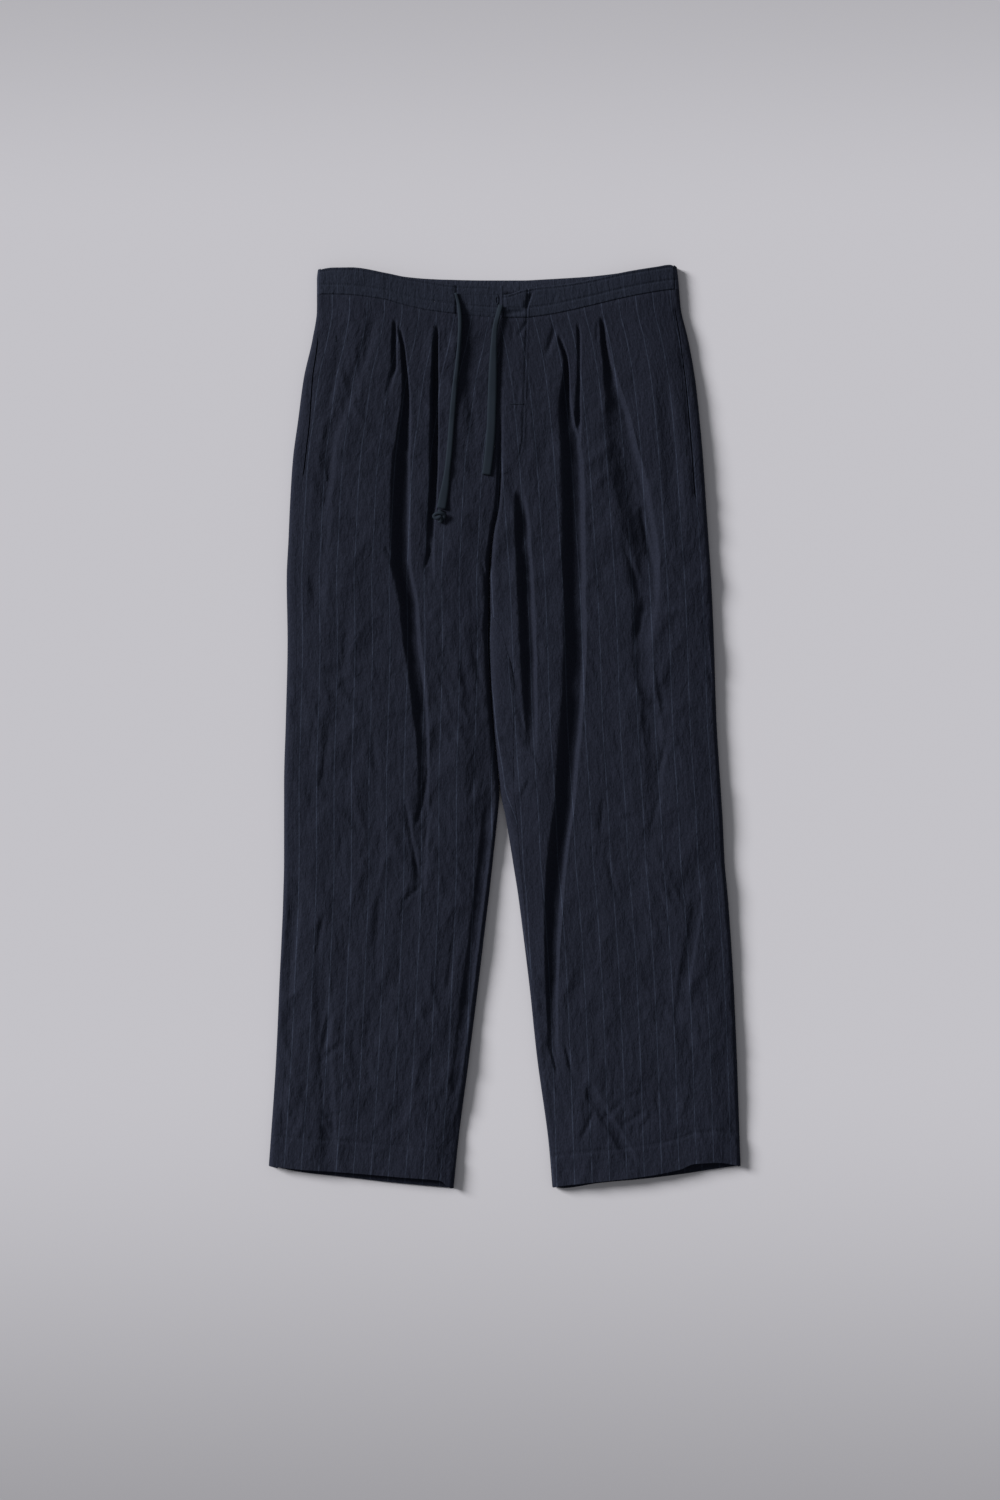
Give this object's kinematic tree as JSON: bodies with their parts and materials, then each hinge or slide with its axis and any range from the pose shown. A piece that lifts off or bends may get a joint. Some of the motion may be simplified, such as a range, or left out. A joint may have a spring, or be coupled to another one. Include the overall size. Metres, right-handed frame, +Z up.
{
  "type": "wool trousers laid flat",
  "caption": "Pleated wool trousers with a drawstring waistband, laid flat front side up, with wide straight legs and open hems.",
  "frame": {"origin": "centre of the garment's outline, on the surface that it lies on", "axes": "+Y from the hems to the waist, +Z up from the surface, +X to the viewer's right"},
  "size_m": [0.5301, 1.0371, 0.0218],
  "materials": {
    "wool": "matte navy wool cloth with a faint pinstripe",
    "band_wool": "matte navy wool cloth, interlined",
    "tape": "matte flat woven tape",
    "thread": "soft sewing thread"
  },
  "bodies": {
    "root": {"front_left": "wool", "front_right": "wool", "back_left": "wool", "back_right": "wool", "waistband_back": "band_wool", "waistband_front_left": "band_wool", "waistband_front_right": "band_wool", "waistband_tab": "band_wool", "buttonhole": "thread", "drawstring_left": "tape", "drawstring_knot": "tape", "drawstring_right": "tape"}
  },
  "joints": []
}
